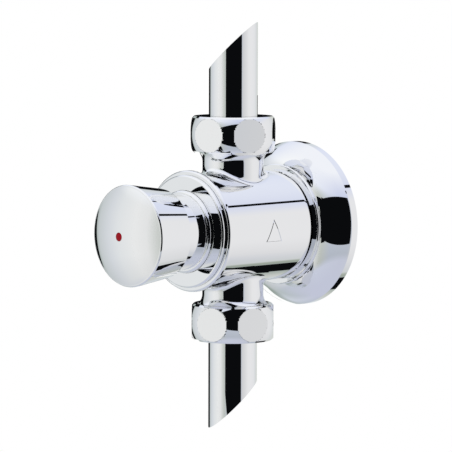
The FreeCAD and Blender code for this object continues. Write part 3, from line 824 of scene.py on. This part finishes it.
    def patch_point(self, ball: Vector, place: int, share: float) -> Vector:
        """A point of the barrel between the blend and the rectangle that bounds the patch.

        Args:
            ball: the rolling ball's centre beside it.
            place: which point of its row it is.
            share: 0 at the blend, 1 on the rectangle.

        Returns:
            The point.
        """
        side, step = divmod(place, self.patch_steps)
        along = 2 * step / self.patch_steps - 1
        edge = ((1, along), (-along, 1), (-1, -along), (along, -1))[side]
        inner_angle = math.asin(ball.x / (self.radius + self.blend))
        angle = inner_angle + (edge[0] * self.patch_angle - inner_angle) * share
        reach = ball.y + (edge[1] * self.patch_reach - ball.y) * share
        return Vector((self.radius * math.sin(angle), reach, self.radius * math.cos(angle)))


@dataclass
class WallFittings:
    """The domed flange on the wall and the trim ring that holds it."""

    dresser: Dresser
    rim_width: float = 3.0 * MM
    wall: float = 1.2 * MM
    crown: float = 16.0 * MM
    crown_steps: tuple[int, int] = (32, 24)
    neck_radius: float = 21.9 * MM
    neck_bore: float = 18.5 * MM
    ring_round: float = 0.6 * MM
    ring_steps: int = 8
    ring_bore: float = 15.1 * MM
    ring_seat: float = 18.1 * MM

    def build(self) -> None:
        """Builds the flange and the trim ring."""
        self.build_flange()
        self.build_trim_ring()

    def build_flange(self) -> None:
        """Builds the flange: a shell of even wall with a cylindrical rim."""
        _, depth, radius = wall_span("wall_flange")
        corner = self.wall * math.tan(math.pi / 8)
        outer_steps, inner_steps = self.crown_steps
        outline = Outline(0.0, radius - self.wall).line((0.0, radius), (self.rim_width, radius))
        outline.arc((depth, self.neck_radius), self.crown, outer_steps)
        outline.line((depth, self.neck_bore), (depth - self.wall, self.neck_bore),
                     (depth - self.wall, self.neck_radius - corner))
        outline.arc((self.rim_width - corner, radius - self.wall), self.wall - self.crown, inner_steps)
        piece = turn("wall_flange_chromed", outline)
        self.dresser.dress(settle(piece), "wall_flange")

    def build_trim_ring(self) -> None:
        """Builds the trim ring: a narrow band with rounded edges."""
        rear, front, radius = wall_span("trim_ring")
        shoulder = front - self.ring_round
        outline = Outline(rear, self.ring_bore).line((rear, radius - self.ring_round))
        outline.arc((rear + self.ring_round, radius), self.ring_round, self.ring_steps)
        outline.line((shoulder - self.ring_round, radius))
        outline.arc((shoulder, radius - self.ring_round), self.ring_round, self.ring_steps)
        outline.line((shoulder, self.ring_seat), (front, self.ring_seat), (front, self.ring_bore))
        piece = turn("trim_ring_chromed", outline)
        self.dresser.dress(settle(piece), "trim_ring")


@dataclass
class Union:
    """A union nut and the tube that it holds, above the valve with side 1 or below it with side -1."""

    dresser: Dresser
    side: int
    nut_node: str
    pipe_node: str
    nut_turn: float
    cut_turn: float
    pipe_length: float
    flats: int = 6
    half_flats: float = 15.0 * MM
    sharp_angle: float = 12.0
    crown: float = 16.25 * MM
    crown_steps: int = 56
    edge: float = 0.6 * MM
    nut_base: float = 28.0 * MM
    nut_top: float = 41.4 * MM
    collar_top: float = 39.4 * MM
    nut_bore: float = 13.25 * MM
    mouth: float = 9.4 * MM
    pipe_radius: float = 9.0 * MM
    pipe_bore: float = 8.0 * MM
    pipe_start: float = 37.5 * MM
    cut_slope: float = 0.978

    def build(self) -> None:
        """Builds the nut and the tube."""
        self.build_nut()
        self.build_pipe()

    def build_nut(self) -> None:
        """Builds the nut: turned to a barrel, then cut flat on six sides."""
        half_height = (self.nut_top - self.nut_base) / 2 - self.edge
        arc_radius = math.sqrt(self.crown ** 2 - half_height ** 2)
        s = self.side
        outline = Outline(s * self.nut_base, self.nut_bore).line(
            (s * self.nut_base, arc_radius - self.edge),
            (s * (self.nut_base + self.edge), arc_radius))
        outline.arc((s * (self.nut_top - self.edge), arc_radius), s * self.crown, self.crown_steps)
        outline.line(
            (s * self.nut_top, arc_radius - self.edge),
            (s * self.nut_top, self.mouth),
            (s * self.collar_top, self.mouth),
            (s * self.collar_top, self.nut_bore))
        piece = turn(self.nut_node + "_chromed", outline, Axis.PIPE)
        port = Vector((0, port_axis_y(), 0))
        pitch = 360 / self.flats
        for step in range(self.flats):
            angle = math.radians(self.nut_turn + pitch * step + pitch / 2)
            normal = Vector((math.cos(angle), math.sin(angle), 0))
            bpy.ops.mesh.select_all(action="SELECT")
            bpy.ops.mesh.bisect(plane_co=port + normal * self.half_flats, plane_no=normal,
                                use_fill=True, clear_outer=True)
        self.dresser.dress(settle(piece, self.sharp_angle), self.nut_node)

    def build_pipe(self) -> None:
        """Builds the tube, sawn off at a slant."""
        reach = self.pipe_length + 2 * self.pipe_radius
        s = self.side
        outline = Outline(s * self.pipe_start, self.pipe_bore).line(
            (s * self.pipe_start, self.pipe_radius),
            (s * reach, self.pipe_radius),
            (s * reach, self.pipe_bore))
        piece = turn(self.pipe_node + "_chromed", outline, Axis.PIPE)
        angle = math.radians(self.cut_turn)
        normal = Vector((-self.cut_slope * math.cos(angle), -self.cut_slope * math.sin(angle), 1)) * s
        bpy.ops.mesh.select_all(action="SELECT")
        bpy.ops.mesh.bisect(plane_co=(0, port_axis_y(), s * self.pipe_length), plane_no=normal,
                            use_fill=False, clear_outer=True)
        bpy.ops.mesh.select_all(action="DESELECT")
        bpy.ops.mesh.select_non_manifold()
        bpy.ops.mesh.bridge_edge_loops()
        bpy.ops.mesh.select_all(action="SELECT")
        bpy.ops.mesh.normals_make_consistent(inside=False)
        self.dresser.dress(settle(piece), self.pipe_node)


@dataclass
class ReturnSpring:
    """The coil in the rear chamber, which on the real valve shortens as the button goes in."""

    dresser: Dresser
    wire: float = 0.75 * MM
    wire_sides: int = 20
    turns: int = 6
    turn_steps: int = 48
    sharp_angle: float = 40.0
    coil_radius: float = 8.0 * MM
    travel: float = 8.0 * MM

    def build(self) -> None:
        """Winds the coil."""
        low, high, _ = wall_span("return_spring")
        clear_selection()
        bpy.ops.mesh.primitive_circle_add(vertices=self.wire_sides, radius=self.wire,
                                          location=(self.coil_radius, -(low + self.wire), 0))
        piece = bpy.context.object
        piece.name = piece.data.name = "return_spring_coil"
        bpy.ops.object.transform_apply(location=True)
        coil = piece.modifiers.new("coil", "SCREW")
        coil.axis = "Y"
        coil.iterations = self.turns
        coil.screw_offset = -(high - low - 2 * self.wire) / self.turns
        coil.steps = coil.render_steps = self.turn_steps
        bpy.ops.object.modifier_apply(modifier=coil.name)
        bpy.ops.object.mode_set(mode="EDIT")
        bpy.ops.mesh.select_all(action="DESELECT")
        bpy.ops.mesh.select_non_manifold()
        bpy.ops.mesh.edge_face_add()
        bpy.ops.mesh.select_all(action="SELECT")
        bpy.ops.mesh.normals_make_consistent(inside=False)
        settle(piece, self.sharp_angle)
        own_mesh(piece)
        self.dresser.dress(piece, "return_spring", slot=Slot.STEEL)


# The studio


class Cloth(Enum):
    """What a studio card is made of, as polished metal sees it."""

    TENT = "tent_cloth"
    WHITE = "white_cloth"
    BLACK = "black_cloth"
    WINDOW = "open_window"
    ROOM = "dark_room"


CHROME_SHINE = 0.905
WHITE_SHOWN: Colour = (252, 253, 252)
BLACK_SHOWN: Colour = (10, 11, 13)
Stops = tuple[tuple[float, Colour], ...]


def emitted(shown: Colour) -> Colour:
    """The light that an sRGB colour from 0 to 255 has to give off for polished metal to show it."""
    return tuple(((part / 255 + 0.055) / 1.055) ** 2.4 / CHROME_SHINE for part in shown)


def between_stops(stops: Stops, place: float) -> Vector:
    """The colour at a place between stops.

    Args:
        stops: places in rising order, each with its colour.
        place: where the colour is wanted.

    Returns:
        The colour, even before the first stop and after the last.
    """
    for (low, first), (high, second) in zip(stops, stops[1:]):
        if place <= high:
            return Vector(first).lerp(Vector(second), max(0.0, (place - low) / (high - low)))
    return Vector(stops[-1][1])


@dataclass(frozen=True)
class TentLight:
    """How the pale tent round the valve glows, as the colours from 0 to 255 that polished metal shows.

    The stops of the ceiling, the walls and the ground run round the valve by azimuth in degrees. The
    elevations, in degrees too, are where the nadir, the ground, the walls' shaded foot, the walls'
    lower and upper edge, the ceiling and the zenith lie.
    """

    ceiling: Stops = ((-180, (214, 220, 239)), (-90, (225, 230, 244)), (-50, (246, 248, 249)),
                      (5, (231, 235, 245)), (60, (203, 209, 232)), (150, (213, 218, 236)),
                      (180, (214, 220, 239)))
    wall: Stops = ((-180, (214, 217, 219)), (-150, (203, 206, 200)), (-137, (205, 212, 218)),
                   (-97, (150, 162, 155)), (-85, (194, 200, 202)), (-66, (210, 214, 219)),
                   (-50, (222, 225, 227)), (-27, (231, 232, 232)), (-12, (226, 227, 227)),
                   (6, (190, 195, 190)), (30, (184, 191, 203)), (84, (186, 192, 203)),
                   (90, (205, 206, 208)), (122, (229, 229, 230)), (140, (229, 229, 231)),
                   (165, (225, 226, 228)), (180, (214, 217, 219)))
    ground: Stops = ((-180, (166, 174, 178)), (-156, (150, 162, 154)), (-130, (180, 188, 198)),
                     (-110, (202, 208, 218)), (-85, (180, 189, 192)), (-60, (188, 194, 206)),
                     (0, (198, 203, 219)), (70, (193, 197, 213)), (150, (200, 203, 210)),
                     (165, (200, 204, 205)), (169, (148, 158, 144)), (180, (166, 174, 178)))
    zenith: Colour = (240, 242, 248)
    nadir: Colour = (193, 197, 215)
    foot_shade: float = 0.96
    elevations: tuple[float, ...] = (-75, -45, -36, -18, 22, 34, 66)

    def at(self, direction: Vector) -> Colour:
        """The light that comes from a direction.

        Args:
            direction: from the valve outwards.

        Returns:
            The emission's colour.
        """
        azimuth = math.degrees(math.atan2(direction.x, -direction.y))
        elevation = math.degrees(math.asin(direction.normalized().z))
        ceiling, wall, ground = (between_stops(stops, azimuth)
                                 for stops in (self.ceiling, self.wall, self.ground))
        rise = (self.nadir, ground, wall * self.foot_shade, wall, wall, ceiling, self.zenith)
        return emitted(between_stops(tuple(zip(self.elevations, rise)), elevation))

    def paint(self, mesh: bpy.types.Mesh) -> None:
        """Keeps the light at each point of a mesh in its colour attribute.

        Args:
            mesh: the tent's or a panel's mesh.
        """
        layer = mesh.color_attributes.new(Cloth.TENT.value, "FLOAT_COLOR", "POINT")
        for point, value in zip(mesh.vertices, layer.data):
            value.color = (*self.at(point.co), 1.0)


@dataclass(frozen=True)
class Card:
    """An upright studio card, square to its azimuth, that metal reflects and the camera doesn't see.

    Its distance from the pipes' axis and the places of its edges are in millimetres.
    """

    name: str
    cloth: Cloth
    azimuth: float
    distance: float
    left: float
    right: float
    bottom: float
    top: float
    steps: int = 24

    def mesh(self, port: float) -> bpy.types.Mesh:
        """Makes the card's mesh.

        Args:
            port: where the pipes' axis lies.

        Returns:
            A grid, so that the tent's light can change across it.
        """
        angle = math.radians(self.azimuth)
        outward = Vector((math.sin(angle), -math.cos(angle), 0))
        sideways = Vector((math.cos(angle), math.sin(angle), 0))
        middle = Vector((0, port, 0)) + outward * (self.distance * MM)
        left, right, bottom, top = (edge * MM for edge in (self.left, self.right, self.bottom, self.top))
        count = self.steps + 1
        shares = [step / self.steps for step in range(count)]
        points = [middle + sideways * (left + (right - left) * across)
                  + Vector((0, 0, bottom + (top - bottom) * up))
                  for up in shares for across in shares]
        faces = [(row * count + place, row * count + place + 1, (row + 1) * count + place + 1,
                  (row + 1) * count + place)
                 for row in range(self.steps) for place in range(self.steps)]
        mesh = bpy.data.meshes.new(self.name)
        mesh.from_pydata(points, [], faces)
        return mesh


CARDS = (
    Card("camera_opening", Cloth.WINDOW, 65, 265, -900, 400, -124, 174),
    Card("left_screen", Cloth.WINDOW, -40, 79.4, -900, 101, -600, 600),
    Card("left_screen_lining", Cloth.WINDOW, -40, 79.6, -900, 101, -600, 600),
    Card("dark_room", Cloth.ROOM, 35, 1500, -3200, 2600, -2200, 2200),
    Card("right_panel", Cloth.TENT, 110, 700, -297, 1925, -1100, 560),
    Card("right_seam", Cloth.BLACK, 110, 702, -297, 1925, 560, 640),
    Card("left_gap", Cloth.BLACK, -117, 2000, -700, 700, -500, 350),
    Card("left_slit", Cloth.BLACK, -99.5, 1900, -220, 300, -960, 1200),
    Card("foot_flag", Cloth.BLACK, 135, 62, 0, 63, -120, -96),
    Card("nut_flag", Cloth.BLACK, -120, 260, -147, -104, -61, 26),
    Card("rear_gap", Cloth.BLACK, 187, 1500, -350, 285, -2140, -1170),
    Card("rear_post", Cloth.BLACK, -148, 70, -22, 14, 29, 46),
    Card("skirt_flag", Cloth.BLACK, 180, 260, 234, 321, 78, 165),
    Card("low_flag", Cloth.BLACK, 15, 62, 12, 27, -30, -18),
    Card("high_flag", Cloth.BLACK, 15, 80, 18, 30, 36, 51),
    Card("under_flag", Cloth.BLACK, 165, 110, 0, 62, -147, -128),
    Card("skirt_seam", Cloth.BLACK, 105, 500, 417, 667, 433, 450),
    Card("band_flag", Cloth.BLACK, 30, 500, -283, -167, 117, 217),
    Card("low_fill", Cloth.WHITE, -115, 2050, -560, 560, -1330, -540),
)


@dataclass
class Studio:
    """The camera, the pale floor, the even light and the tent that the chrome reflects."""

    azimuth: float = 46.523
    elevation: float = 5.031
    roll: float = 0.139
    distance: float = 1108.858 * MM
    shift_right: float = -2.567 * MM
    shift_up: float = 0.622 * MM
    focal_pixels: float = 3000.0
    picture_pixels: float = 452.0
    sensor: float = 36.0
    floor_drop: float = 1200 * MM
    floor_size: float = 6.0
    tent_radius: float = 6.0
    tent_rings: int = 72
    light: TentLight = TentLight()

    def build(self) -> None:
        """Sets up everything that isn't the valve."""
        bpy.context.scene.view_settings.view_transform = "Standard"
        self.add_camera()
        self.add_world()
        self.add_floor()
        cloths = {cloth: self.cloth_material(cloth) for cloth in Cloth}
        self.add_tent(cloths[Cloth.TENT])
        for card in CARDS:
            mesh = card.mesh(port_axis_y())
            if card.cloth is Cloth.TENT:
                self.light.paint(mesh)
            piece = bpy.data.objects.new(card.name, mesh)
            bpy.context.scene.collection.objects.link(piece)
            self.hang(piece, cloths[card.cloth])

    def add_camera(self) -> None:
        """Adds the camera at the photograph's angle, level but for a slight roll."""
        turn_angle, tilt, roll = (math.radians(a) for a in (self.azimuth, self.elevation, self.roll))
        back = Vector((math.sin(turn_angle) * math.cos(tilt), -math.cos(turn_angle) * math.cos(tilt),
                       math.sin(tilt)))
        level = Vector((math.cos(turn_angle), math.sin(turn_angle), 0))
        upright = back.cross(level)
        right = level * math.cos(roll) + upright * math.sin(roll)
        up = upright * math.cos(roll) - level * math.sin(roll)
        target = Vector((0, port_axis_y(), 0)) + right * self.shift_right + up * self.shift_up
        camera = bpy.data.objects.new("camera", bpy.data.cameras.new("camera"))
        bpy.context.scene.collection.objects.link(camera)
        camera.matrix_world = Matrix.Translation(target + back * self.distance) @ Matrix(
            (right, up, back)).transposed().to_4x4()
        camera.data.lens = self.focal_pixels / self.picture_pixels * self.sensor
        bpy.context.scene.camera = camera

    @staticmethod
    def add_world() -> None:
        """Adds even white light from all round, which is the backdrop too."""
        world = bpy.data.worlds.new("studio")
        world.use_nodes = True
        world.node_tree.nodes["Background"].inputs["Color"].default_value = (1, 1, 1, 1)
        bpy.context.scene.world = world

    def add_floor(self) -> None:
        """Adds a white floor well below the valve."""
        clear_selection()
        bpy.ops.mesh.primitive_plane_add(size=self.floor_size, location=(0, 0, -self.floor_drop))
        floor = bpy.context.object
        floor.name = "floor"
        sheet = NodeSheet("white_floor")
        floor.data.materials.append(sheet.surface(sheet.add("BsdfDiffuse", Color=(1, 1, 1, 1))))
        floor.visible_glossy = False

    def add_tent(self, cloth: bpy.types.Material) -> None:
        """Adds the tent itself, a ball round the whole studio.

        Args:
            cloth: the tent's material.
        """
        clear_selection()
        bpy.ops.mesh.primitive_uv_sphere_add(segments=2 * self.tent_rings, ring_count=self.tent_rings,
                                             radius=self.tent_radius)
        tent = bpy.context.object
        tent.name = "tent"
        self.light.paint(tent.data)
        self.hang(tent, cloth)

    @staticmethod
    def hang(piece: bpy.types.Object, cloth: bpy.types.Material) -> None:
        """Dresses a card or the tent, which only reflections find.

        Args:
            piece: the card or the tent.
            cloth: its material.
        """
        piece.data.materials.append(cloth)
        for ray in ("camera", "diffuse", "transmission", "shadow", "volume_scatter"):
            setattr(piece, "visible_" + ray, False)

    @staticmethod
    def cloth_material(cloth: Cloth) -> bpy.types.Material:
        """Makes the material of one kind of cloth.

        The dark room shows only through the opening: a ray that has passed the left screen and
        its lining, or none of the three, goes on to the tent.

        Args:
            cloth: the kind.

        Returns:
            The material.
        """
        sheet = NodeSheet(cloth.value)
        clear = sheet.add("BsdfTransparent") if cloth in (Cloth.WINDOW, Cloth.ROOM) else None
        black = (*emitted(BLACK_SHOWN), 1.0)
        if cloth is Cloth.WINDOW:
            shader = clear
        elif cloth is Cloth.ROOM:
            passed = sheet.add("LightPath").outputs["Transparent Depth"]
            once = sheet.add("Math", {"operation": "COMPARE"}, _0=passed, _1=1.0, _2=0.5).outputs["Value"]
            dark = sheet.add("Emission", Color=black)
            shader = sheet.add("MixShader", _0=once, _1=clear.outputs[0], _2=dark.outputs[0])
        elif cloth is Cloth.TENT:
            glow = sheet.add("VertexColor", {"layer_name": cloth.value}).outputs["Color"]
            shader = sheet.add("Emission", Color=glow)
        else:
            shown = black if cloth is Cloth.BLACK else (*emitted(WHITE_SHOWN), 1.0)
            shader = sheet.add("Emission", Color=shown)
        material = sheet.surface(shader)
        material.cycles.emission_sampling = "NONE"
        return material


def main() -> None:
    """Builds the studio and the valve, piece by piece."""
    logging.basicConfig(level=logging.INFO, format="%(message)s")
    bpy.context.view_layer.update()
    Studio().build()
    dresser = Dresser()
    dresser.dress_cad_nodes()
    ButtonHead(dresser).build()
    HeadFront(dresser).build()
    BodyCasting(dresser).build()
    WallFittings(dresser).build()
    Union(dresser, 1, "outlet_nut", "outlet_pipe", nut_turn=9.6, cut_turn=35.4,
          pipe_length=67.1 * MM).build()
    Union(dresser, -1, "inlet_nut", "inlet_pipe", nut_turn=15.7, cut_turn=54.3,
          pipe_length=65.5 * MM).build()
    ReturnSpring(dresser).build()
    clear_selection()


if __name__ == "__main__":
    main()
